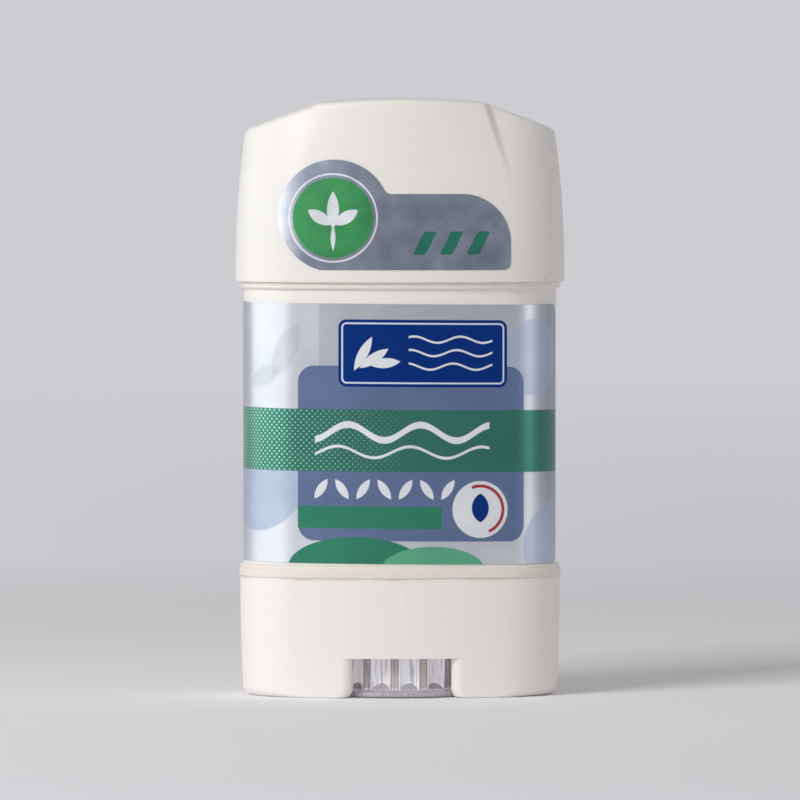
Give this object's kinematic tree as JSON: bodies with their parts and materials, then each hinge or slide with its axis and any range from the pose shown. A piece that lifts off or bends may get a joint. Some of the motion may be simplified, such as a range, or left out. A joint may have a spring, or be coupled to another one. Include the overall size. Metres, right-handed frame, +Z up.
{
  "type": "twist-up deodorant stick",
  "caption": "Upright oval twist-up deodorant pack: cap with sloping shoulders, labelled barrel, perforated dome, screw-driven piston and a clear fluted dial in the base window.",
  "frame": {"origin": "under the middle of the base, on the surface that the pack stands on", "axes": "+Z up along the pack, +X to the right as the front label is read, the front faces -Y"},
  "size_m": [0.064, 0.0373, 0.116],
  "materials": {
    "white_shell": "smooth satin polypropylene",
    "white_insert": "satin",
    "screw_plastic": "satin",
    "clear_plastic": "clear, glossy",
    "cream": "soft, slightly wet",
    "front_foil": "metallised printed film",
    "cap_foil": "metallised printed film"
  },
  "bodies": {
    "barrel": {"barrel": "white_shell", "front_label": "front_foil", "applicator": "white_insert", "cream": "cream", "base": "white_shell"},
    "dial": {"dial": "clear_plastic", "screw": "screw_plastic"},
    "elevator": {"elevator": "white_insert"},
    "cap": {"cap": "white_shell", "cap_label": "cap_foil"}
  },
  "joints": [
    {"name": "dial_turn", "type": "hinge", "parent": "barrel", "child": "dial", "pos_m": [0, 0, 0], "axis": [0, 0, -1], "range_deg": [0, 2880]},
    {"name": "elevator_rise", "type": "slide", "parent": "barrel", "child": "elevator", "axis": [0, 0, 1], "range_m": [0, 0.048], "deforming": ["cream"]},
    {"name": "cap_lift", "type": "slide", "parent": "barrel", "child": "cap", "axis": [0, 0, 1], "range_m": [0, 0.04]}
  ],
  "couplings": [
    {"joint": "elevator_rise", "follows": "dial_turn", "m_per_rad": 0.00095493}
  ]
}
